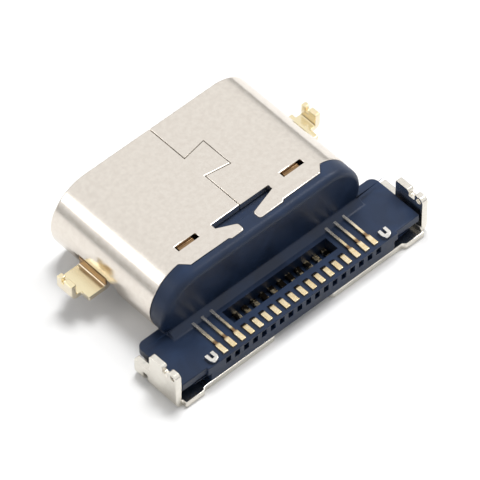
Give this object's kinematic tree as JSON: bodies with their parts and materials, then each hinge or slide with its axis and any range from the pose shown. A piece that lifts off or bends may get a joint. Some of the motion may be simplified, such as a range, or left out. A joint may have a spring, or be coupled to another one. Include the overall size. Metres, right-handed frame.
{
  "type": "phone charging port",
  "caption": "Flat oval plug socket for a phone's board edge: rolled steel shell with side ears, moulded insulator with a comb of solder tails, and a stamped rear cover with pronged legs.",
  "frame": {"origin": "centre of the mouth's opening, in the plane of the shell's front edge", "axes": "+X across the port, +Y from the mouth to the back, +Z towards the side whose tails are soldered to the board"},
  "size_m": [0.0114, 0.0078, 0.0032],
  "materials": {
    "shell_steel": "satin nickel plate, faint rolling marks",
    "cover_steel": "satin nickel plate",
    "insulator": "blue-black moulded, slight gloss",
    "contact_gilt": "thin gold plate",
    "inner_steel": "bright stamped steel",
    "weld_metal": "smooth, cooled from molten"
  },
  "bodies": {
    "root": {"shell": "shell_steel", "rear_cover": "cover_steel", "housing": "insulator", "tongue": "insulator", "mid_plate": "inner_steel", "upper_ground_shield": "inner_steel", "lower_ground_shield": "inner_steel", "weld_nugget_1": "weld_metal", "weld_nugget_2": "weld_metal", "weld_nugget_3": "weld_metal", "upper_contact_01": "contact_gilt", "upper_contact_02": "contact_gilt", "upper_contact_03": "contact_gilt", "upper_contact_04": "contact_gilt", "upper_contact_05": "contact_gilt", "upper_contact_06": "contact_gilt", "upper_contact_07": "contact_gilt", "upper_contact_08": "contact_gilt", "upper_contact_09": "contact_gilt", "upper_contact_10": "contact_gilt", "upper_contact_11": "contact_gilt", "upper_contact_12": "contact_gilt", "lower_contact_01": "contact_gilt", "lower_contact_02": "contact_gilt", "lower_contact_03": "contact_gilt", "lower_contact_04": "contact_gilt", "lower_contact_05": "contact_gilt", "lower_contact_06": "contact_gilt", "lower_contact_07": "contact_gilt", "lower_contact_08": "contact_gilt", "lower_contact_09": "contact_gilt", "lower_contact_10": "contact_gilt", "lower_contact_11": "contact_gilt", "lower_contact_12": "contact_gilt"}
  },
  "joints": []
}
